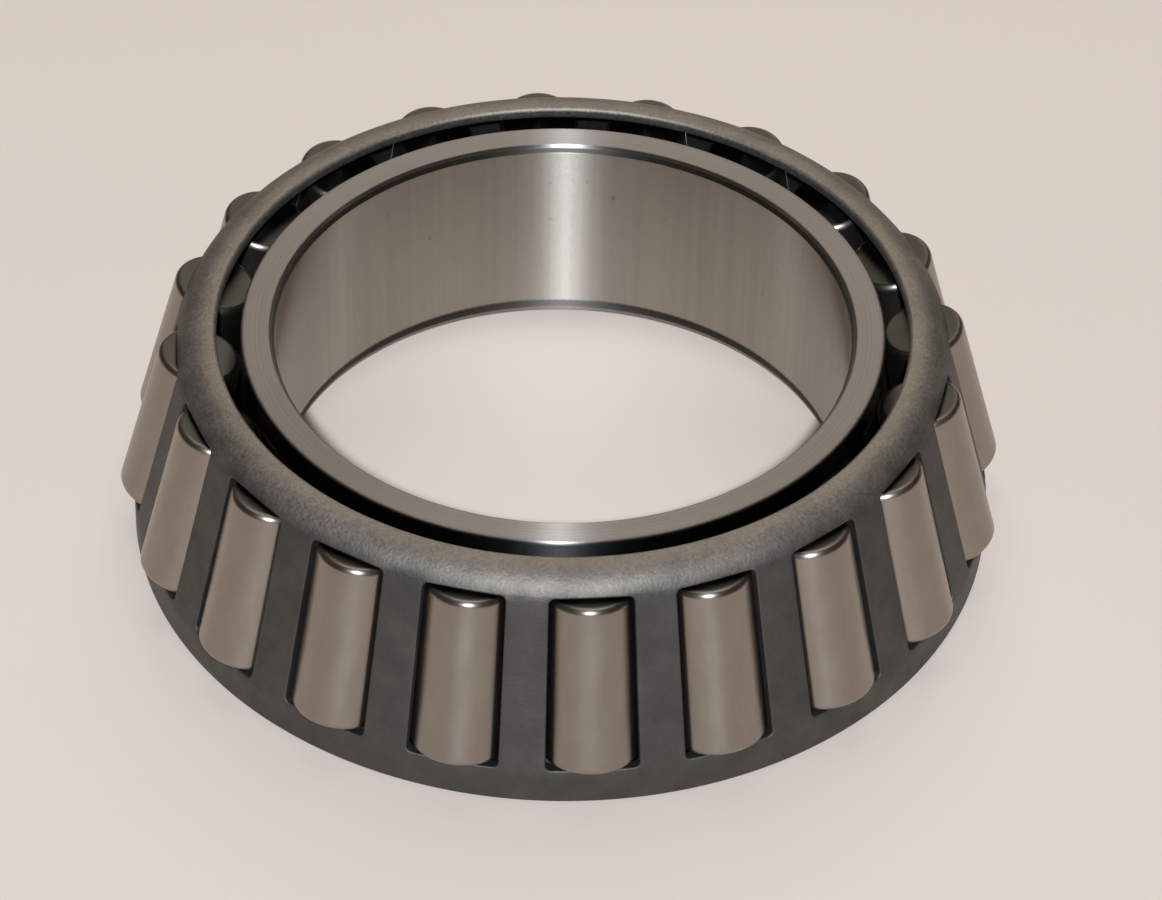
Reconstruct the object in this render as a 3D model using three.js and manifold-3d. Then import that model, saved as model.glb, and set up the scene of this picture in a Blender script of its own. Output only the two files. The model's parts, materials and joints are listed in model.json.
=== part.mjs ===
// Tapered roller bearing, cone assembly: an inner ring, a pressed steel cage and twenty tapered rollers.
// Millimetres, +Z along the bearing axis. The ring's wide face lies on Z = 0 and its narrow face looks up.
// Raceway, roller and cage cones lean towards the axis going up. The raceway cone and every roller's cone
// share one apex on the axis, so that the rollers roll on the ring without sliding.

import * as THREE from 'three';
import { mergeVertices } from 'three/addons/utils/BufferGeometryUtils.js';
import Module from 'manifold-3d';

const wasm = await Module();
wasm.setup();

// Driving dimensions of the bearing.
const BORE_RADIUS = 44.45;
const RING_WIDTH = 36.083;
const ROLLER_COUNT = 20;
const ROLLER_LENGTH = 27.7;
const ROLLER_TILT = THREE.MathUtils.degToRad(14);
const ROLLER_SMALL_RADIUS = 6.47;
const SMALL_END_RADIUS = 55.8;
const SMALL_END_HEIGHT = 32.7;

// Inner ring.
const WIDE_RIB_RADIUS = 60.2;
const NARROW_RIB_RADIUS = 49.7;
const WIDE_BORE_CORNER_WIDTH = 3.5;
const WIDE_BORE_CORNER_HEIGHT = 4.6;
const BORE_CHAMFER_WIDTH = 0.8;
const BORE_CHAMFER_DEPTH = 1.2;
const RIB_CORNER = 0.6;
const RIB_FACE_CORNER = 0.4;
const RELIEF_DEPTH = 0.5;
const RELIEF_LENGTH = 1.1;

// Running clearances of the rollers.
const RACEWAY_GAP = 0.1;
const WIDE_RIB_GAP = 0.15;
const NARROW_RIB_GAP = 0.3;

// Rollers.
const ROLLER_CORNER = 1.1;

// Pressed cage: a straight band at the wide end, a cone with the windows, a round shoulder, a flat lip.
const SHEET = 2.1;
const CAGE_FOOT = 0.3;
const CAGE_CREST = 37.1;
const BAND_RADIUS = 67.4;
const BAND_TOP_RADIUS = 67.3;
const BAND_TOP = 5.8;
const BAND_BEND = 6;
const CONE_ANGLE = THREE.MathUtils.degToRad(15.06);
const SHOULDER_BEND = 5.7;
const LIP_RADIUS = 53.3;
const LIP_EDGE = 0.7;

// Windows: each follows its roller and is narrower than the roller's full width, which keeps it in.
const WINDOW_END_GAP = 0.45;
const WINDOW_OVERHANG = 0.1;
const WINDOW_CORNER = 0.9;
const WINDOW_CUT_FROM = 0.8;
const WINDOW_CUT_TO = 7.5;

// Facets.
const RING_SEGMENTS = 60;
const ROLLER_SEGMENTS = 24;
const ARC_STEP = THREE.MathUtils.degToRad(45);

// Distances along a roller's axis are measured from the common apex, down to the roller's two ends.
const SMALL_END_DISTANCE = SMALL_END_RADIUS / Math.sin(ROLLER_TILT);
const LARGE_END_DISTANCE = SMALL_END_DISTANCE + ROLLER_LENGTH;
const MIDDLE_DISTANCE = SMALL_END_DISTANCE + ROLLER_LENGTH / 2;
const APEX_HEIGHT = SMALL_END_HEIGHT + SMALL_END_DISTANCE * Math.cos(ROLLER_TILT);
const ROLLER_TAPER = Math.atan(ROLLER_SMALL_RADIUS / SMALL_END_DISTANCE);
const RACEWAY_ANGLE = ROLLER_TILT - ROLLER_TAPER;

// Radius of a roller at a distance from the apex.
function rollerRadius(distance) {
  return distance * Math.tan(ROLLER_TAPER);
}

// Height of the plane square to a roller's axis at a distance from the apex, where it meets a radius.
function endPlaneHeight(distance, radius) {
  return APEX_HEIGHT + (radius * Math.sin(ROLLER_TILT) - distance) / Math.cos(ROLLER_TILT);
}

// Radius of the ring's raceway at a height.
function racewayRadius(height) {
  return (APEX_HEIGHT - height) * Math.tan(RACEWAY_ANGLE) - RACEWAY_GAP / Math.cos(RACEWAY_ANGLE);
}

// Points of a closed outline whose corners are [radius, height, rounding].
function roundedOutline(corners) {
  const spots = corners.map(([r, z]) => new THREE.Vector2(r, z));
  const points = [];
  corners.forEach(([, , rounding], i) => {
    const corner = spots[i];
    if (!rounding) {
      points.push(corner);
      return;
    }
    const back = spots.at(i - 1).clone().sub(corner).normalize();
    const ahead = spots[(i + 1) % spots.length].clone().sub(corner).normalize();
    const halfAngle = Math.acos(back.dot(ahead)) / 2;
    const inward = back.clone().add(ahead).normalize();
    const centre = corner.clone().addScaledVector(inward, rounding / Math.sin(halfAngle));
    const start = corner.clone().addScaledVector(back, rounding / Math.tan(halfAngle)).sub(centre);
    const end = corner.clone().addScaledVector(ahead, rounding / Math.tan(halfAngle)).sub(centre);
    const sweep = Math.atan2(start.cross(end), start.dot(end));
    const steps = Math.max(1, Math.ceil(Math.abs(sweep) / ARC_STEP));
    for (let k = 0; k <= steps; k += 1) {
      points.push(start.clone().rotateAround(new THREE.Vector2(), sweep * k / steps).add(centre));
    }
  });
  return points;
}

// Keeps a geometry's positions only and joins the vertices that its triangles share.
function bare(geometry) {
  geometry.deleteAttribute('normal');
  geometry.deleteAttribute('uv');
  return mergeVertices(geometry, 1e-4);
}

// A body turned about +Z. The profile is in (radius, height) and runs anticlockwise.
function turned(profile, segments) {
  const geometry = new THREE.LatheGeometry(profile, segments);
  geometry.rotateX(Math.PI / 2);
  return bare(geometry);
}

// A ring turned about +Z from a closed outline.
function turnedRing(outline) {
  return turned([...outline, outline[0]], RING_SEGMENTS);
}

// Places a piece made about its own +Z axis at a roller's station.
function stationMatrix(index) {
  const angle = 2 * Math.PI * index / ROLLER_COUNT;
  const middleRadius = MIDDLE_DISTANCE * Math.sin(ROLLER_TILT);
  const middleHeight = APEX_HEIGHT - MIDDLE_DISTANCE * Math.cos(ROLLER_TILT);
  const around = new THREE.Matrix4().makeRotationZ(angle);
  const outward = new THREE.Matrix4().makeTranslation(middleRadius, 0, middleHeight);
  const lean = new THREE.Matrix4().makeRotationY(-ROLLER_TILT);
  return around.multiply(outward).multiply(lean);
}

function toSolid(geometry) {
  return new wasm.Manifold(new wasm.Mesh({
    numProp: 3,
    vertProperties: new Float32Array(geometry.getAttribute('position').array),
    triVerts: new Uint32Array(geometry.getIndex().array),
  }));
}

function toGeometry(solid) {
  const mesh = solid.getMesh();
  const geometry = new THREE.BufferGeometry();
  geometry.setAttribute('position', new THREE.BufferAttribute(mesh.vertProperties, 3));
  geometry.setIndex(new THREE.BufferAttribute(mesh.triVerts, 1));
  return geometry;
}

// The corner from the bore to the wide face, as corners of an outline: a quarter ellipse, taller than it is wide.
function wideBoreCorner() {
  const steps = Math.ceil(Math.PI / 2 / ARC_STEP);
  const corners = [];
  for (let k = 0; k <= steps; k += 1) {
    const turn = Math.PI / 2 * k / steps;
    const radius = BORE_RADIUS + WIDE_BORE_CORNER_WIDTH * (1 - Math.cos(turn));
    const height = WIDE_BORE_CORNER_HEIGHT * (1 - Math.sin(turn));
    corners.push([radius, height, 0]);
  }
  return corners;
}

// The ring: bore, two flat faces, the raceway and a rib at each end of it, with a relief at each rib's foot.
function innerRingGeometry() {
  const wideFace = LARGE_END_DISTANCE + WIDE_RIB_GAP;
  const narrowFace = SMALL_END_DISTANCE - NARROW_RIB_GAP;
  const wideFoot = racewayRadius(endPlaneHeight(wideFace, WIDE_RIB_RADIUS)) - RELIEF_DEPTH;
  const narrowFoot = racewayRadius(endPlaneHeight(narrowFace, NARROW_RIB_RADIUS)) - RELIEF_DEPTH;
  const wideFootHeight = endPlaneHeight(wideFace, wideFoot);
  const narrowFootHeight = endPlaneHeight(narrowFace, narrowFoot);
  const racewayStart = wideFootHeight + RELIEF_LENGTH;
  const racewayEnd = narrowFootHeight - RELIEF_LENGTH;
  return turnedRing(roundedOutline([
    ...wideBoreCorner(),
    [WIDE_RIB_RADIUS, 0, RIB_CORNER],
    [WIDE_RIB_RADIUS, endPlaneHeight(wideFace, WIDE_RIB_RADIUS), RIB_FACE_CORNER],
    [wideFoot, wideFootHeight, 0],
    [racewayRadius(racewayStart), racewayStart, 0],
    [racewayRadius(racewayEnd), racewayEnd, 0],
    [narrowFoot, narrowFootHeight, 0],
    [NARROW_RIB_RADIUS, endPlaneHeight(narrowFace, NARROW_RIB_RADIUS), RIB_FACE_CORNER],
    [NARROW_RIB_RADIUS, RING_WIDTH, RIB_CORNER],
    [BORE_RADIUS + BORE_CHAMFER_WIDTH, RING_WIDTH, 0],
    [BORE_RADIUS, RING_WIDTH - BORE_CHAMFER_DEPTH, 0],
  ]));
}

// A roller about its own axis, small end up, centred on its middle.
function rollerGeometry() {
  const half = ROLLER_LENGTH / 2;
  const corner = ROLLER_CORNER;
  const largeRadius = rollerRadius(LARGE_END_DISTANCE);
  return turned([
    new THREE.Vector2(0, -half),
    new THREE.Vector2(largeRadius - corner, -half),
    new THREE.Vector2(rollerRadius(LARGE_END_DISTANCE - corner), corner - half),
    new THREE.Vector2(rollerRadius(SMALL_END_DISTANCE + corner), half - corner),
    new THREE.Vector2(ROLLER_SMALL_RADIUS - corner, half),
    new THREE.Vector2(0, half),
  ], ROLLER_SEGMENTS);
}

// Radius of the outside of the cage's cone at a height.
function coneRadius(height) {
  return BAND_TOP_RADIUS - (height - BAND_TOP) * Math.tan(CONE_ANGLE);
}

// The cage before its windows are cut: one sheet, formed from the foot of the band to the lip.
function cageShellGeometry() {
  const innerCone = (height) => coneRadius(height) - SHEET / Math.cos(CONE_ANGLE);
  const innerCrest = CAGE_CREST - SHEET;
  const innerBandTop = BAND_TOP - SHEET * Math.tan(CONE_ANGLE / 2);
  return turnedRing(roundedOutline([
    [BAND_RADIUS - SHEET, CAGE_FOOT, 0],
    [BAND_RADIUS, CAGE_FOOT, 0],
    [BAND_TOP_RADIUS, BAND_TOP, BAND_BEND],
    [coneRadius(CAGE_CREST), CAGE_CREST, SHOULDER_BEND],
    [LIP_RADIUS, CAGE_CREST, LIP_EDGE],
    [LIP_RADIUS, innerCrest, LIP_EDGE],
    [innerCone(innerCrest), innerCrest, SHOULDER_BEND - SHEET],
    [innerCone(innerBandTop), innerBandTop, BAND_BEND - SHEET],
  ]));
}

// The slug that is punched out at one station, about its roller's axis: a trapezium with round corners.
function windowGeometry() {
  const half = ROLLER_LENGTH / 2 + WINDOW_END_GAP;
  const wide = rollerRadius(MIDDLE_DISTANCE + half) - WINDOW_OVERHANG;
  const narrow = rollerRadius(MIDDLE_DISTANCE - half) - WINDOW_OVERHANG;
  const outline = roundedOutline([
    [-wide, -half, WINDOW_CORNER],
    [wide, -half, WINDOW_CORNER],
    [narrow, half, WINDOW_CORNER],
    [-narrow, half, WINDOW_CORNER],
  ]);
  const depth = WINDOW_CUT_TO - WINDOW_CUT_FROM;
  const geometry = new THREE.ExtrudeGeometry(new THREE.Shape(outline), { depth, bevelEnabled: false });
  geometry.translate(0, 0, WINDOW_CUT_FROM);
  const across = new THREE.Vector3(0, 1, 0);
  const along = new THREE.Vector3(0, 0, 1);
  const outward = new THREE.Vector3(1, 0, 0);
  geometry.applyMatrix4(new THREE.Matrix4().makeBasis(across, along, outward));
  return bare(geometry);
}

function cageGeometry() {
  const slug = windowGeometry();
  let cage = toSolid(cageShellGeometry());
  for (let i = 0; i < ROLLER_COUNT; i += 1) {
    cage = cage.subtract(toSolid(slug.clone().applyMatrix4(stationMatrix(i))));
  }
  return toGeometry(cage);
}

function steel(color, roughness) {
  return new THREE.MeshStandardMaterial({ color, roughness, metalness: 1 });
}

const bearing = new THREE.Group();

const innerRing = new THREE.Mesh(innerRingGeometry(), steel(0x9a958d, 0.35));
innerRing.name = 'inner_ring';
bearing.add(innerRing);

const cage = new THREE.Mesh(cageGeometry(), steel(0x4b4848, 0.6));
cage.name = 'cage';
bearing.add(cage);

for (let i = 0; i < ROLLER_COUNT; i += 1) {
  const roller = new THREE.Mesh(rollerGeometry(), steel(0x8f877e, 0.28));
  roller.name = `roller_${String(i + 1).padStart(2, '0')}`;
  stationMatrix(i).decompose(roller.position, roller.quaternion, roller.scale);
  bearing.add(roller);
}

export default bearing;
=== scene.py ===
"""Looks of a tapered roller bearing's cone assembly: inner ring, pressed cage and twenty tapered rollers.

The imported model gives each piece's place, each roller's axis and the outer sizes. Fine meshes stand for its
faceted solids, with the same main dimensions. Their window sides stand 0.15 mm closer to the rollers, and they
have roundings of up to 0.3 mm on edges that the solids leave sharp. Procedural steel finishes cover them.
Lengths are in metres.
"""

import json
import math

import bmesh
import bpy
import numpy as np
from mathutils import Matrix, Vector

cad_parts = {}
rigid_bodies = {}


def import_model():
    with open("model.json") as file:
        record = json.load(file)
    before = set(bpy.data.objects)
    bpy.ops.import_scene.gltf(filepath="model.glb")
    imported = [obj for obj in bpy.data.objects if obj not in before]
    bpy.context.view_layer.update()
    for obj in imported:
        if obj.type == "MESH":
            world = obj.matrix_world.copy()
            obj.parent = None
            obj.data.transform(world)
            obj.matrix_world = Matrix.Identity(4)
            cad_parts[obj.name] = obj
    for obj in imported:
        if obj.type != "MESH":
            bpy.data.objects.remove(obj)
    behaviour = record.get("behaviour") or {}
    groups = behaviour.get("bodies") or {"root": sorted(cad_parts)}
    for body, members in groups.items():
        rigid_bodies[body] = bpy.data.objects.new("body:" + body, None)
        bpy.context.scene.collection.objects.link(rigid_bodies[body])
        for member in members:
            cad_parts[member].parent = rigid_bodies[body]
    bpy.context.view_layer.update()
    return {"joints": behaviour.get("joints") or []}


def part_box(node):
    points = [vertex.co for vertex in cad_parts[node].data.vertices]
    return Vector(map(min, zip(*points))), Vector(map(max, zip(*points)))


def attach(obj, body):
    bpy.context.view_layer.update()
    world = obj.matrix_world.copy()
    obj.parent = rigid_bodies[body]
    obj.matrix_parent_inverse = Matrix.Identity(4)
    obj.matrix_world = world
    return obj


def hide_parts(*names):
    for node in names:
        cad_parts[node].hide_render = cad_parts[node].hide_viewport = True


MM = 0.001

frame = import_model()

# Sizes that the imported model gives.
RING_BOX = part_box("inner_ring")
CAGE_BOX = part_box("cage")
RING_WIDTH = RING_BOX[1].z
WIDE_RIB_RADIUS = RING_BOX[1].y
CAGE_FOOT = CAGE_BOX[0].z
CAGE_CREST = CAGE_BOX[1].z
BAND_RADIUS = CAGE_BOX[1].y
ROLLER_JOINTS = [j for j in frame["joints"] if j["parent"] == "cage"]
MIDDLE_RADIUS = Vector(ROLLER_JOINTS[0]["pos_m"][:2]).length
MIDDLE_HEIGHT = ROLLER_JOINTS[0]["pos_m"][2]
TILT = math.acos(ROLLER_JOINTS[0]["axis"][2])
ROLLER_COUNT = len(ROLLER_JOINTS)

# Sizes of the real bearing that its box doesn't give.
BORE_RADIUS = 44.45 * MM
NARROW_RIB_RADIUS = 49.7 * MM
WIDE_BORE_CORNER_WIDTH = 3.5 * MM
WIDE_BORE_CORNER_HEIGHT = 4.6 * MM
BORE_CHAMFER_WIDTH = 0.8 * MM
BORE_CHAMFER_DEPTH = 1.2 * MM
BORE_CHAMFER_EDGE = 0.3 * MM
RIB_CORNER = 0.6 * MM
RIB_FACE_CORNER = 0.3 * MM
RELIEF_DEPTH = 0.5 * MM
RELIEF_LENGTH = 1.1 * MM
RELIEF_CORNER = 0.3 * MM
RACEWAY_GAP = 0.1 * MM
WIDE_RIB_GAP = 0.15 * MM
NARROW_RIB_GAP = 0.3 * MM
ROLLER_LENGTH = 27.7 * MM
ROLLER_CORNER = 1.1 * MM
ROLLER_TAPER = math.radians(1.6067)
SHEET = 2.1 * MM
BAND_TOP_RADIUS = 67.3 * MM
BAND_TOP = 5.8 * MM
BAND_BEND = 6.0 * MM
CONE_ANGLE = math.radians(15.06)
SHOULDER_BEND = 5.7 * MM
LIP_RADIUS = 53.3 * MM
LIP_EDGE = 0.7 * MM
FOOT_EDGE = 0.3 * MM
WINDOW_END_GAP = 0.45 * MM
WINDOW_OVERHANG = 0.25 * MM
WINDOW_CORNER = 0.9 * MM
WINDOW_EDGE = 0.25 * MM

# Fineness of the meshes and their shading.
ARC_STEP = math.radians(9)
RING_SEGMENTS = 240
ROLLER_SEGMENTS = 96
SECTOR_COLUMNS = 20
SECTOR_ROWS = 30
CORNER_STEPS = 4
OUTER_ARC_STEPS = 2
INNER_ARC_STEPS = 4
STRIP_SHARES = (0, 0.3, 0.6, 0.85, 1)
EDGE_TURNS = [math.radians(turn) for turn in (30, 60, 90)]
SMOOTH_ANGLE = math.radians(50)
AXIS_RADIUS = 1e-9
JOIN_DISTANCE = 1e-6
LIFT_ROUNDS = 12
FLAT_FACE_WEIGHT = 100

# Noise and relief. Waves are counted per millimetre along X, Y and Z. A span of the noise is stretched over a
# whole range.
NOISE_SPAN = (0.3, 0.7)
NOISE_MIDDLE = (0.35, 0.65)
GRAIN_TURN = 0.25
MARK_DEPTH = 0.0003 * MM
RING_MARK_WAVES = (0.05, 0.05, 4.0)
RING_CLOUD_WAVES = (0.06, 0.06, 0.03)
RING_STREAK_WAVES = (0.8, 0.8, 0.01)
RING_GRAIN_WAVES = (3.0, 3.0, 3.0)
SPECK_WAVES = (1.2, 1.2, 1.2)
SPECK_SPAN = (0.12, 0.15)
SPECK_SHARE = 0.4
FACE_TURN_WAVES = 3.0
ROLLER_MARK_WAVES = (0.1, 0.1, 5.0)
ROLLER_MOTTLE_WAVES = (0.35, 0.35, 0.12)
ROLLER_GRAIN_WAVES = (4.0, 4.0, 4.0)
CAGE_BLOTCH_WAVES = (0.18, 0.18, 0.18)
CAGE_TUMBLE_WAVES = (1.8, 1.8, 1.8)
CAGE_RELIEF = 0.075 * MM
FLOOR_WAVES = (0.006, 0.006, 0.006)

# Where one finish, painted shade or painted light gives way to another.
BORE_SKIN = (0.005 * MM, 0.04 * MM)
# The chamfer band carries painted shade: a dark colour for the dark room that the chamfer reflects.
CHAMFER_BAND = 0.45 * MM
CHAMFER_BLUR = 0.05 * MM
# The rib side band carries painted shadow: the shadow in the gap between the narrow rib and the cage's lip.
RIB_SIDE_SKIN = (0.3 * MM, 0.1 * MM)
# The roller end band carries painted shade: the dark of the gaps that the end faces sit in.
ROLLER_END_SKIN = (0.15 * MM, 0.05 * MM)
# Painted light: from these heights up, the cage is coloured lighter and warmer for the ceiling light on its
# top, with a ragged edge.
PAINTED_LIGHT_FROM = 3.2 * MM
PAINTED_LIGHT_PAST = 0.1 * MM
PAINTED_LIGHT_RAGGED = 0.6 * MM

# Roughness and colour.
BORE_ROUGHNESS = 0.32
BORE_ROUGHNESS_CHANGE = 0.02
FACE_ROUGHNESS = 0.34
CHAMFER_ROUGHNESS = 0.6
ROLLER_ROUGHNESS = (0.31, 0.35)
ROLLER_ANISOTROPY = 0.5
CAGE_ROUGHNESS = (0.54, 0.66)
FLOOR_ROUGHNESS = 0.7
RING_DARK = (0.38, 0.347, 0.309, 1)
RING_LIGHT = (0.44, 0.402, 0.359, 1)
SPECK_COLOR = (0.12, 0.1, 0.09, 1)
FACE_DARK = (0.25, 0.23, 0.216, 1)
FACE_LIGHT = (0.305, 0.281, 0.264, 1)
# Painted shade: the chamfer's dark colour stands for the dark room it reflects.
CHAMFER_PAINTED_SHADE = (0.11, 0.103, 0.092, 1)
# Painted shadow: the narrow rib's dark side stands for the shadow in the gap between it and the cage's lip.
RIB_SIDE_PAINTED_SHADE = (0.05, 0.05, 0.048, 1)
ROLLER_DARK = (0.305, 0.265, 0.228, 1)
ROLLER_LIGHT = (0.34, 0.297, 0.257, 1)
# Painted shade: the roller end faces are coloured dark for the dark gaps they sit in.
ROLLER_END_PAINTED_SHADE = (0.075, 0.072, 0.061, 1)
CAGE_DARK = (0.105, 0.1, 0.091, 1)
CAGE_MIDDLE = (0.133, 0.126, 0.114, 1)
# Painted light: shoulder and lip colours, lighter and warmer than the flanks, stand for the warm ceiling light
# on the top of the cage.
CAGE_LIP_DARK = (0.29, 0.25, 0.207, 1)
CAGE_LIP_LIGHT = (0.4, 0.353, 0.302, 1)
FLOOR_DARK = (0.84, 0.7, 0.6, 1)
FLOOR_LIGHT = (0.87, 0.73, 0.63, 1)

# View and light.
CAMERA_AZIMUTH = -4.95
CAMERA_ELEVATION = 41.576
CAMERA_ROLL = 1.13
CAMERA_DISTANCE = 698.5 * MM
CAMERA_AIM = 28.0 * MM
CAMERA_RIGHT = 3.12 * MM
CAMERA_UP = -13.28 * MM
CAMERA_LENS = 139.47
CAMERA_SENSOR = 36.0
CAMERA_REACH = 20.0
FLOOR_SIZE = 8.0
ROOM_COLOR = (1.0, 0.93, 0.86, 1)
ROOM_STRENGTH = 0.05
FLASH_ELEVATION = 43
FLASH_DISTANCE = 2.5
FLASH_SIZE = (0.1, 0.1)
FLASH_POWER = 60.0
FLASH_COLOR = (0.9, 1.0, 1.11)
CEILING_AZIMUTH = 172
CEILING_ELEVATION = 55
CEILING_DISTANCE = 1.4
CEILING_SIZE = (0.9, 1.6)
CEILING_POWER = 6.2
CEILING_COLOR = (1.0, 0.93, 0.83)

# Distances along a roller's axis from the apex that its cone and the raceway share.
MIDDLE_DISTANCE = MIDDLE_RADIUS / math.sin(TILT)
APEX_HEIGHT = MIDDLE_HEIGHT + MIDDLE_DISTANCE * math.cos(TILT)
SMALL_END = MIDDLE_DISTANCE - ROLLER_LENGTH / 2
LARGE_END = MIDDLE_DISTANCE + ROLLER_LENGTH / 2
RACEWAY_ANGLE = TILT - ROLLER_TAPER


def roller_radius(distance):
    """Radius of a roller at a distance from the apex."""
    return distance * math.tan(ROLLER_TAPER)


def end_plane_height(distance, radius):
    """Height of the plane square to a roller's axis at a distance from the apex, where it meets a radius."""
    return APEX_HEIGHT + (radius * math.sin(TILT) - distance) / math.cos(TILT)


def raceway_radius(height):
    """Radius of the ring's raceway at a height."""
    return (APEX_HEIGHT - height) * math.tan(RACEWAY_ANGLE) - RACEWAY_GAP / math.cos(RACEWAY_ANGLE)


# Outlines and meshes


def corner_arcs(corners, steps=None):
    """For each corner (x, y, rounding) of a closed outline, the points of the arc that rounds it."""
    spots = [Vector((x, y)) for x, y, _ in corners]
    arcs = []
    for i, (_, _, rounding) in enumerate(corners):
        corner = spots[i]
        if not rounding:
            arcs.append([corner])
            continue
        back = (spots[i - 1] - corner).normalized()
        ahead = (spots[(i + 1) % len(spots)] - corner).normalized()
        half = back.angle(ahead) / 2
        centre = corner + (back + ahead).normalized() * (rounding / math.sin(half))
        start = corner + back * (rounding / math.tan(half)) - centre
        sweep = math.copysign(math.pi - 2 * half, ahead.cross(back))
        count = steps or max(2, math.ceil(abs(sweep) / ARC_STEP))
        arcs.append([centre + turned(start, sweep * k / count) for k in range(count + 1)])
    return arcs


def turned(vector, angle):
    """A plane vector turned anticlockwise."""
    cosine, sine = math.cos(angle), math.sin(angle)
    return Vector((vector.x * cosine - vector.y * sine, vector.x * sine + vector.y * cosine))


def joined(arcs):
    """Lists of points as one list."""
    return [point for arc in arcs for point in arc]


def band(profile, segments, first, closed=False):
    """Vertices and faces of (radius, height) points turned about +Z, numbered from first.

    A point on the axis is one vertex.
    """
    vertices = []
    rows = []
    for radius, height in profile:
        if radius < AXIS_RADIUS:
            rows.append([first + len(vertices)] * segments)
            vertices.append((0, 0, height))
            continue
        rows.append(range(first + len(vertices), first + len(vertices) + segments))
        for i in range(segments):
            angle = 2 * math.pi * i / segments
            vertices.append((radius * math.cos(angle), radius * math.sin(angle), height))
    pairs = list(zip(rows, rows[1:]))
    if closed:
        pairs.append((rows[-1], rows[0]))
    faces = []
    for low, high in pairs:
        for i in range(segments):
            j = (i + 1) % segments
            faces.append(list(dict.fromkeys([low[i], low[j], high[j], high[i]])))
    return vertices, faces


def new_mesh(name, vertices, faces):
    """A closed mesh whose shared vertices are joined, smooth but for its clear edges."""
    mesh = bpy.data.meshes.new(name)
    mesh.from_pydata(vertices, [], faces)
    work = bmesh.new()
    work.from_mesh(mesh)
    bmesh.ops.remove_doubles(work, verts=work.verts, dist=JOIN_DISTANCE)
    work.to_mesh(mesh)
    work.free()
    mesh.shade_smooth()
    mesh.set_sharp_from_angle(angle=SMOOTH_ANGLE)
    return mesh


def new_piece(name, mesh, material, body):
    """A piece that stands for a body's node and keeps its flat faces flat beside round edges."""
    piece = bpy.data.objects.new(name, mesh)
    bpy.context.scene.collection.objects.link(piece)
    mesh.materials.append(material)
    weighted = piece.modifiers.new("weighted_normals", "WEIGHTED_NORMAL")
    weighted.keep_sharp = True
    weighted.weight = FLAT_FACE_WEIGHT
    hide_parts(body)
    return piece


# Inner ring and rollers


def wide_bore_corner():
    """Corners of the quarter ellipse from the bore to the wide face, which is taller than it is wide."""
    steps = math.ceil(math.pi / 2 / ARC_STEP)
    corners = []
    for k in range(steps + 1):
        turn = math.pi / 2 * k / steps
        radius = BORE_RADIUS + WIDE_BORE_CORNER_WIDTH * (1 - math.cos(turn))
        height = WIDE_BORE_CORNER_HEIGHT * (1 - math.sin(turn))
        corners.append((radius, height, 0))
    return corners


def ring_mesh():
    """The ring: bore, two faces, the raceway, a rib at each end of it and a relief at each rib's foot."""
    wide = LARGE_END + WIDE_RIB_GAP
    narrow = SMALL_END - NARROW_RIB_GAP
    wide_foot = raceway_radius(end_plane_height(wide, WIDE_RIB_RADIUS)) - RELIEF_DEPTH
    narrow_foot = raceway_radius(end_plane_height(narrow, NARROW_RIB_RADIUS)) - RELIEF_DEPTH
    start = end_plane_height(wide, wide_foot) + RELIEF_LENGTH
    end = end_plane_height(narrow, narrow_foot) - RELIEF_LENGTH
    outline = joined(corner_arcs([
        *wide_bore_corner(),
        (WIDE_RIB_RADIUS, 0, RIB_CORNER),
        (WIDE_RIB_RADIUS, end_plane_height(wide, WIDE_RIB_RADIUS), RIB_FACE_CORNER),
        (wide_foot, end_plane_height(wide, wide_foot), RELIEF_CORNER),
        (raceway_radius(start), start, RELIEF_CORNER),
        (raceway_radius(end), end, RELIEF_CORNER),
        (narrow_foot, end_plane_height(narrow, narrow_foot), RELIEF_CORNER),
        (NARROW_RIB_RADIUS, end_plane_height(narrow, NARROW_RIB_RADIUS), RIB_FACE_CORNER),
        (NARROW_RIB_RADIUS, RING_WIDTH, RIB_CORNER),
        (BORE_RADIUS + BORE_CHAMFER_WIDTH, RING_WIDTH, BORE_CHAMFER_EDGE),
        (BORE_RADIUS, RING_WIDTH - BORE_CHAMFER_DEPTH, BORE_CHAMFER_EDGE),
    ]))
    return new_mesh("inner_ring", *band(outline, RING_SEGMENTS, 0, closed=True))


def roller_mesh(name):
    """A roller about its own axis, small end up, centred on its middle."""
    half = ROLLER_LENGTH / 2
    outline = joined(corner_arcs([
        (0, -half, 0),
        (roller_radius(LARGE_END), -half, ROLLER_CORNER),
        (roller_radius(SMALL_END), half, ROLLER_CORNER),
        (0, half, 0),
    ]))
    return new_mesh(name, *band(outline, ROLLER_SEGMENTS, 0))


# Cage


def cone_radius(height, inset=0.0):
    """Radius of the cage's cone at a height, on its outside or a distance inside it."""
    return BAND_TOP_RADIUS - (height - BAND_TOP) * math.tan(CONE_ANGLE) - inset / math.cos(CONE_ANGLE)


def window_loop(spread):
    """A window's outline in (across, along) its roller's middle, spread outwards all round.

    It starts at the middle of the lower left corner and runs anticlockwise, with as many points on each side
    as a sector of the cage has columns or rows.
    """
    half = ROLLER_LENGTH / 2 + WINDOW_END_GAP
    wide = roller_radius(MIDDLE_DISTANCE + half) - WINDOW_OVERHANG + spread
    narrow = roller_radius(MIDDLE_DISTANCE - half) - WINDOW_OVERHANG + spread
    half += spread
    spots = [(-wide, -half), (wide, -half), (narrow, half), (-narrow, half)]
    arcs = corner_arcs([(x, y, WINDOW_CORNER + spread) for x, y in spots], steps=2 * CORNER_STEPS)
    points = []
    for side in range(4):
        here, there = arcs[side], arcs[(side + 1) % 4]
        straight = (SECTOR_COLUMNS, SECTOR_ROWS)[side % 2] - 2 * CORNER_STEPS
        points += here[CORNER_STEPS:]
        points += [here[-1].lerp(there[0], k / straight) for k in range(1, straight)]
        points += there[:CORNER_STEPS]
    return points


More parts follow.
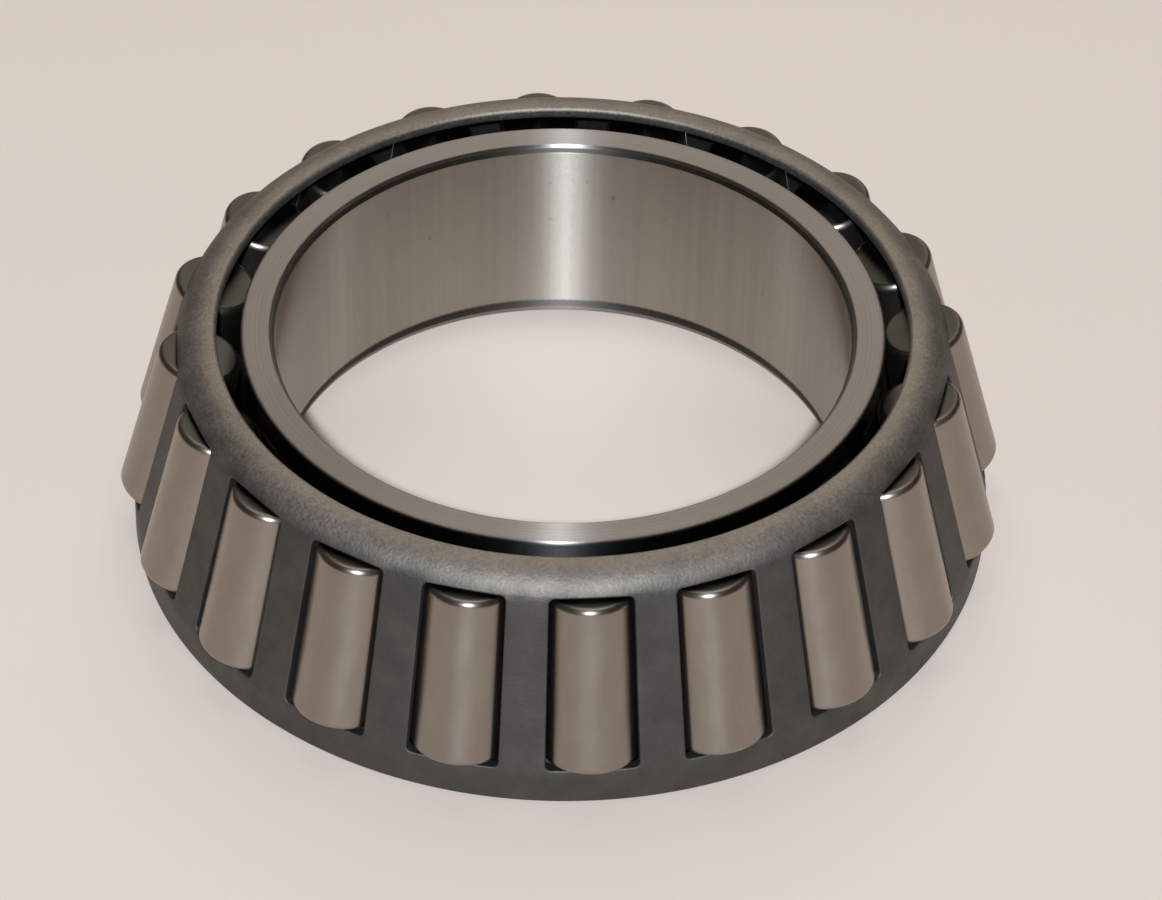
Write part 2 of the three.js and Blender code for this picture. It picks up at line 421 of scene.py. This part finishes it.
def sector_frame(low, high):
    """Outline of a sector's strip in (angle, length), matched point for point to a window's outline."""
    half = math.pi / ROLLER_COUNT
    spots = [Vector(spot) for spot in ((-half, low), (half, low), (half, high), (-half, high))]
    points = []
    for side in range(4):
        count = (SECTOR_COLUMNS, SECTOR_ROWS)[side % 2]
        points += [spots[side].lerp(spots[(side + 1) % 4], k / count) for k in range(count)]
    return points


def above_axis(across, along, lift):
    """The point of a window at a lift above its roller's axis, for the roller on +X."""
    radius = MIDDLE_RADIUS - along * math.sin(TILT) + lift * math.cos(TILT)
    return Vector((radius, across, MIDDLE_HEIGHT + along * math.cos(TILT) + lift * math.sin(TILT)))


class SheetSide:
    """The stretch of one side of the cage's sheet that its windows pass through, from low to high."""

    def __init__(self, points, inward):
        self.radii = np.array([p.x for p in points])
        self.heights = np.array([p.y for p in points])
        steps = np.hypot(np.diff(self.radii), np.diff(self.heights))
        self.lengths = np.concatenate(([0.0], np.cumsum(steps)))
        self.inward = inward

    def point(self, angle, length):
        """The point at an angle about the bearing's axis and a length along this side."""
        radius = float(np.interp(length, self.lengths, self.radii))
        height = float(np.interp(length, self.lengths, self.heights))
        return Vector((radius * math.cos(angle), radius * math.sin(angle), height))

    def lift(self, across, along):
        """How far above the roller's axis this side lies at a spot of the window."""
        axis_radius = MIDDLE_RADIUS - along * math.sin(TILT)
        axis_height = MIDDLE_HEIGHT + along * math.cos(TILT)
        lift = 0.0
        for _ in range(LIFT_ROUNDS):
            radius = np.interp(axis_height + lift * math.sin(TILT), self.heights, self.radii)
            lift = (math.sqrt(radius**2 - across**2) - axis_radius) / math.cos(TILT)
        return lift

    def rings(self):
        """Loops from the sector's frame to its window, then round the window's edge to its wall."""
        hole = []
        for across, along in window_loop(WINDOW_EDGE):
            spot = above_axis(across, along, self.lift(across, along))
            length = float(np.interp(spot.z, self.heights, self.lengths))
            hole.append(Vector((math.atan2(spot.y, spot.x), length)))
        outline = sector_frame(0.0, self.lengths[-1])
        rings = []
        for share in STRIP_SHARES:
            rings.append([self.point(*a.lerp(b, share)) for a, b in zip(outline, hole)])
        for turn in EDGE_TURNS:
            spread = WINDOW_EDGE * (1 - math.sin(turn))
            depth = self.inward * WINDOW_EDGE * (1 - math.cos(turn))
            loop = window_loop(spread)
            rings.append([above_axis(x, y, self.lift(x, y) - depth) for x, y in loop])
        return rings


def cage_mesh():
    """The cage: two turned bands, above and below the windows, and a strip round each window between them."""
    inner_crest = CAGE_CREST - SHEET
    inner_band_top = BAND_TOP - SHEET * math.tan(CONE_ANGLE / 2)
    foot_in, foot_out, bend_out, shoulder_out, lip_top, lip_under, shoulder_in, bend_in = corner_arcs([
        (BAND_RADIUS - SHEET, CAGE_FOOT, FOOT_EDGE),
        (BAND_RADIUS, CAGE_FOOT, FOOT_EDGE),
        (BAND_TOP_RADIUS, BAND_TOP, BAND_BEND),
        (cone_radius(CAGE_CREST), CAGE_CREST, SHOULDER_BEND),
        (LIP_RADIUS, CAGE_CREST, LIP_EDGE),
        (LIP_RADIUS, inner_crest, LIP_EDGE),
        (cone_radius(inner_crest, SHEET), inner_crest, SHOULDER_BEND - SHEET),
        (cone_radius(inner_band_top, SHEET), inner_band_top, BAND_BEND - SHEET),
    ])
    outer = SheetSide(bend_out + shoulder_out[: OUTER_ARC_STEPS + 1], 1)
    inner = SheetSide((shoulder_in[-INNER_ARC_STEPS - 1 :] + bend_in)[::-1], -1)
    upper = shoulder_out[OUTER_ARC_STEPS:] + lip_top + lip_under + shoulder_in[:-INNER_ARC_STEPS]
    lower = [bend_in[-1]] + foot_in + foot_out + [bend_out[0]]
    columns = SECTOR_COLUMNS * ROLLER_COUNT
    vertices, faces = band(upper, columns, 0)
    more_vertices, more_faces = band(lower, columns, len(vertices))
    vertices += more_vertices
    faces += more_faces
    rings = outer.rings() + inner.rings()[::-1]
    size = len(rings[0])
    for sector in range(ROLLER_COUNT):
        turn = Matrix.Rotation(2 * math.pi * sector / ROLLER_COUNT, 3, "Z")
        first = len(vertices)
        vertices += [tuple(turn @ point) for ring in rings for point in ring]
        for k in range(len(rings) - 1):
            here, there = first + k * size, first + (k + 1) * size
            for i in range(size):
                j = (i + 1) % size
                faces.append([here + i, here + j, there + j, there + i])
    return new_mesh("cage", vertices, faces)


# Finishes


class Finish:
    """A finish, built from nodes that read the place on the piece."""

    def __init__(self, name, metallic=1.0, anisotropy=0.0):
        self.material = bpy.data.materials.new(name)
        self.material.use_nodes = True
        self.nodes = self.material.node_tree.nodes
        self.links = self.material.node_tree.links
        self.shader = self.nodes["Principled BSDF"]
        self.shader.inputs["Metallic"].default_value = metallic
        self.shader.inputs["Anisotropic"].default_value = anisotropy
        self.place = self.nodes.new("ShaderNodeTexCoord").outputs["Object"]

    def put(self, socket, value):
        """Sets a socket to a value, or links it to another socket."""
        if isinstance(value, bpy.types.NodeSocket):
            self.links.new(value, socket)
        else:
            socket.default_value = value

    def cover(self, color, roughness):
        """Gives the whole finish its colour and its roughness."""
        self.put(self.shader.inputs["Base Color"], color)
        self.put(self.shader.inputs["Roughness"], roughness)

    def math(self, operation, first, second=0.0):
        """One sum or product of two values, or the size of the first."""
        made = self.nodes.new("ShaderNodeMath")
        made.operation = operation
        self.put(made.inputs[0], first)
        self.put(made.inputs[1], second)
        return made.outputs[0]

    def waves(self, x, y, z):
        """The place, scaled to so many waves of noise per millimetre along each axis."""
        made = self.nodes.new("ShaderNodeVectorMath")
        made.operation = "MULTIPLY"
        self.put(made.inputs[0], self.place)
        self.put(made.inputs[1], (x / MM, y / MM, z / MM))
        return made.outputs[0]

    def radius(self):
        """Distance from the piece's axis."""
        across = self.nodes.new("ShaderNodeVectorMath")
        across.operation = "MULTIPLY"
        self.put(across.inputs[0], self.place)
        self.put(across.inputs[1], (1, 1, 0))
        made = self.nodes.new("ShaderNodeVectorMath")
        made.operation = "LENGTH"
        self.put(made.inputs[0], across.outputs[0])
        return made.outputs["Value"]

    def height(self):
        """Height along the piece's axis."""
        made = self.nodes.new("ShaderNodeSeparateXYZ")
        self.put(made.inputs[0], self.place)
        return made.outputs["Z"]

    def noise(self, vector, detail=3.0, roughness=0.55):
        """Cloudy noise at a place, with a number of finer layers and their strength."""
        made = self.nodes.new("ShaderNodeTexNoise")
        made.inputs["Scale"].default_value = 1.0
        made.inputs["Detail"].default_value = detail
        made.inputs["Roughness"].default_value = roughness
        self.put(made.inputs["Vector"], vector)
        return made.outputs["Fac"]

    def spread(self, value, low, high, to_low=0.0, to_high=1.0):
        """A value between low and high, spread over another range and held at its ends."""
        made = self.nodes.new("ShaderNodeMapRange")
        self.put(made.inputs["Value"], value)
        self.put(made.inputs["From Min"], low)
        self.put(made.inputs["From Max"], high)
        self.put(made.inputs["To Min"], to_low)
        self.put(made.inputs["To Max"], to_high)
        return made.outputs["Result"]

    def mix(self, share, first, second):
        """A colour between two colours."""
        made = self.nodes.new("ShaderNodeMix")
        made.data_type = "RGBA"
        sockets = {socket.identifier: socket for socket in made.inputs}
        self.put(sockets["Factor_Float"], share)
        self.put(sockets["A_Color"], first)
        self.put(sockets["B_Color"], second)
        return next(socket for socket in made.outputs if socket.identifier == "Result_Color")

    def bump(self, height, depth):
        """Relief of a height pattern, as deep as so many metres."""
        made = self.nodes.new("ShaderNodeBump")
        made.inputs["Strength"].default_value = 1.0
        made.inputs["Distance"].default_value = depth
        self.put(made.inputs["Height"], height)
        self.links.new(made.outputs["Normal"], self.shader.inputs["Normal"])

    def round_the_axis(self, rotation):
        """Lays the stretched highlight of ground steel across grinding marks that run round the axis."""
        made = self.nodes.new("ShaderNodeTangent")
        made.direction_type = "RADIAL"
        made.axis = "Z"
        self.shader.inputs["Anisotropic Rotation"].default_value = rotation
        self.links.new(made.outputs["Tangent"], self.shader.inputs["Tangent"])


def ring_zones(finish, radius):
    """Masks of the ring's parts: all outside the bore, the bore's chamfer, and the narrow rib's side."""
    outside = finish.spread(radius, BORE_RADIUS + BORE_SKIN[0], BORE_RADIUS + BORE_SKIN[1])
    edge = BORE_RADIUS + CHAMFER_BAND
    inside_edge = finish.spread(radius, edge - CHAMFER_BLUR, edge + CHAMFER_BLUR, 1.0, 0.0)
    chamfer = finish.math("MULTIPLY", outside, inside_edge)
    rib = NARROW_RIB_RADIUS
    rib_side = finish.spread(radius, rib - RIB_SIDE_SKIN[0], rib - RIB_SIDE_SKIN[1])
    return outside, chamfer, rib_side


def bore_color(finish):
    """Clouds, faint streaks up the bore and a few small specks."""
    cloud = finish.noise(finish.waves(*RING_CLOUD_WAVES), detail=4.0)
    streaks = finish.noise(finish.waves(*RING_STREAK_WAVES), detail=3.0)
    speck = finish.spread(finish.noise(finish.waves(*SPECK_WAVES), detail=0.0), *SPECK_SPAN, 1.0, 0.0)
    shade = finish.math("ADD", finish.math("MULTIPLY", cloud, 0.5), finish.math("MULTIPLY", streaks, 0.5))
    steel = finish.mix(finish.spread(shade, *NOISE_MIDDLE), RING_DARK, RING_LIGHT)
    return finish.mix(finish.math("MULTIPLY", speck, SPECK_SHARE), steel, SPECK_COLOR)


def ring_steel():
    """Ground bearing steel: a satin bore and faces with turning marks. The dull chamfer is coloured dark as a
    painted reflection of the dark room in front, and the narrow rib's side is coloured dark as a painted
    shadow of the gap beside it.
    """
    finish = Finish("ring_steel", anisotropy=1.0)
    finish.round_the_axis(GRAIN_TURN)
    radius = finish.radius()
    outside, chamfer, rib_side = ring_zones(finish, radius)
    turns = finish.noise(finish.math("MULTIPLY", radius, FACE_TURN_WAVES / MM), detail=2.0)
    face = finish.mix(finish.spread(turns, *NOISE_MIDDLE), FACE_DARK, FACE_LIGHT)
    steel = finish.mix(outside, bore_color(finish), face)
    # Painted shade on the chamfer, for the dark room it reflects.
    steel = finish.mix(chamfer, steel, CHAMFER_PAINTED_SHADE)
    # Painted shadow on the narrow rib's side, from the gap beside it.
    steel = finish.mix(rib_side, steel, RIB_SIDE_PAINTED_SHADE)

    grain = finish.noise(finish.waves(*RING_GRAIN_WAVES), detail=2.0)
    low, high = BORE_ROUGHNESS - BORE_ROUGHNESS_CHANGE, BORE_ROUGHNESS + BORE_ROUGHNESS_CHANGE
    ground = finish.spread(grain, *NOISE_SPAN, low, high)
    on_face = finish.math("MULTIPLY", outside, FACE_ROUGHNESS - BORE_ROUGHNESS)
    on_chamfer = finish.math("MULTIPLY", chamfer, CHAMFER_ROUGHNESS - FACE_ROUGHNESS)
    rough = finish.math("ADD", finish.math("ADD", ground, on_face), on_chamfer)

    finish.cover(steel, rough)
    marks = finish.noise(finish.waves(*RING_MARK_WAVES), detail=2.0)
    finish.bump(finish.math("ADD", marks, grain), MARK_DEPTH)
    return finish.material


def roller_steel():
    """Honed bearing steel of the rollers: marks round the roller, a faint mottle, and end faces coloured dark
    as painted shade for the dark gaps they sit in.
    """
    finish = Finish("roller_steel", anisotropy=ROLLER_ANISOTROPY)
    finish.round_the_axis(GRAIN_TURN)
    marks = finish.noise(finish.waves(*ROLLER_MARK_WAVES), detail=2.0)
    mottle = finish.noise(finish.waves(*ROLLER_MOTTLE_WAVES), detail=4.0)
    grain = finish.noise(finish.waves(*ROLLER_GRAIN_WAVES), detail=2.0)
    half = ROLLER_LENGTH / 2
    from_middle = finish.math("ABSOLUTE", finish.height())
    # Both end faces are coloured dark: painted shade for the gaps they sit in.
    ends = finish.spread(from_middle, half - ROLLER_END_SKIN[0], half - ROLLER_END_SKIN[1])
    steel = finish.mix(finish.spread(mottle, *NOISE_MIDDLE), ROLLER_DARK, ROLLER_LIGHT)
    finish.cover(finish.mix(ends, steel, ROLLER_END_PAINTED_SHADE), finish.spread(mottle, *NOISE_SPAN, *ROLLER_ROUGHNESS))
    finish.bump(finish.math("ADD", marks, grain), MARK_DEPTH)
    return finish.material


def cage_steel():
    """Pressed and tumbled sheet: dark and matt on the flanks, with painted light on shoulder and lip, which
    are coloured lighter and warmer towards the top for the warm ceiling light that falls there.
    """
    finish = Finish("cage_steel")
    blotch = finish.noise(finish.waves(*CAGE_BLOTCH_WAVES), detail=5.0)
    tumble = finish.noise(finish.waves(*CAGE_TUMBLE_WAVES), detail=3.0, roughness=0.7)
    ragged = finish.spread(blotch, *NOISE_SPAN, -PAINTED_LIGHT_RAGGED, PAINTED_LIGHT_RAGGED)
    height = finish.math("ADD", finish.height(), ragged)
    # Painted light: the top of the cage is coloured lighter and warmer, for the warm light falling on it.
    lit_top = finish.spread(height, CAGE_CREST - PAINTED_LIGHT_FROM, CAGE_CREST + PAINTED_LIGHT_PAST)
    flank = finish.mix(finish.spread(blotch, *NOISE_MIDDLE), CAGE_DARK, CAGE_MIDDLE)
    lip = finish.mix(finish.spread(tumble, *NOISE_MIDDLE), CAGE_LIP_DARK, CAGE_LIP_LIGHT)
    finish.cover(finish.mix(lit_top, flank, lip), finish.spread(tumble, *NOISE_SPAN, *CAGE_ROUGHNESS))
    finish.bump(finish.math("ADD", tumble, blotch), CAGE_RELIEF)
    return finish.material


# Stage, camera and light


def floor():
    """A pale plain floor under the bearing."""
    mesh = bpy.data.meshes.new("floor")
    half = FLOOR_SIZE / 2
    corners = [(-half, -half, 0), (half, -half, 0), (half, half, 0), (-half, half, 0)]
    mesh.from_pydata(corners, [], [(0, 1, 2, 3)])
    piece = bpy.data.objects.new("floor", mesh)
    bpy.context.scene.collection.objects.link(piece)
    finish = Finish("floor", metallic=0.0)
    cloud = finish.noise(finish.waves(*FLOOR_WAVES), detail=3.0)
    finish.cover(finish.mix(cloud, FLOOR_DARK, FLOOR_LIGHT), FLOOR_ROUGHNESS)
    mesh.materials.append(finish.material)


def direction(azimuth, elevation):
    """Unit vector from the bearing towards an azimuth, 0 in front (-Y) and 90 at +X, and an elevation."""
    a, e = math.radians(azimuth), math.radians(elevation)
    return Vector((math.sin(a) * math.cos(e), -math.cos(a) * math.cos(e), math.sin(e)))


def facing(way, roll=0.0):
    """Rotation of a camera or light that looks along a direction, rolled about it."""
    return way.to_track_quat("-Z", "Y").to_matrix().to_4x4() @ Matrix.Rotation(math.radians(roll), 4, "Z")


def camera():
    """A long lens at the front, above the bearing."""
    data = bpy.data.cameras.new("camera")
    data.sensor_width = CAMERA_SENSOR
    data.lens = CAMERA_LENS
    data.clip_end = CAMERA_REACH
    piece = bpy.data.objects.new("camera", data)
    bpy.context.scene.collection.objects.link(piece)
    towards = direction(CAMERA_AZIMUTH, CAMERA_ELEVATION)
    level = facing(-towards)
    aside = level @ Vector((CAMERA_RIGHT, CAMERA_UP, 0))
    place = Vector((0, 0, CAMERA_AIM)) + towards * CAMERA_DISTANCE + aside
    piece.matrix_world = Matrix.Translation(place) @ facing(-towards, CAMERA_ROLL)
    bpy.context.scene.camera = piece


def softbox(name, place, size, power, color):
    """A rectangular soft light that looks at the bearing from a place."""
    data = bpy.data.lights.new(name, "AREA")
    data.shape = "RECTANGLE"
    data.size, data.size_y = size
    data.energy = power
    data.color = color
    piece = bpy.data.objects.new(name, data)
    bpy.context.scene.collection.objects.link(piece)
    piece.matrix_world = Matrix.Translation(place) @ facing(-place)


def world():
    """A dim warm room round the bearing, seen without any tone curve."""
    made = bpy.data.worlds.new("room")
    made.use_nodes = True
    background = made.node_tree.nodes["Background"]
    background.inputs["Color"].default_value = ROOM_COLOR
    background.inputs["Strength"].default_value = ROOM_STRENGTH
    bpy.context.scene.world = made
    bpy.context.scene.view_settings.view_transform = "Standard"


def main():
    """Sets the stage and puts every piece on its body."""
    camera()
    floor()
    world()
    flash = direction(CAMERA_AZIMUTH, FLASH_ELEVATION) * FLASH_DISTANCE
    softbox("flash", flash, FLASH_SIZE, FLASH_POWER, FLASH_COLOR)
    ceiling = direction(CEILING_AZIMUTH, CEILING_ELEVATION) * CEILING_DISTANCE
    softbox("ceiling", ceiling, CEILING_SIZE, CEILING_POWER, CEILING_COLOR)

    ring = new_piece("inner_ring_steel", ring_mesh(), ring_steel(), "inner_ring")
    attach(ring, "inner_ring")
    cage = new_piece("cage_steel", cage_mesh(), cage_steel(), "cage")
    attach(cage, "cage")
    steel = roller_steel()
    for index, joint in enumerate(ROLLER_JOINTS):
        body = joint["child"]
        roller = new_piece(body + "_steel", roller_mesh(body + "_steel"), steel, body)
        around = Matrix.Rotation(2 * math.pi * index / ROLLER_COUNT, 4, "Z")
        lean = Matrix.Rotation(-TILT, 4, "Y")
        roller.matrix_world = around @ Matrix.Translation((MIDDLE_RADIUS, 0, MIDDLE_HEIGHT)) @ lean
        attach(roller, body)


main()
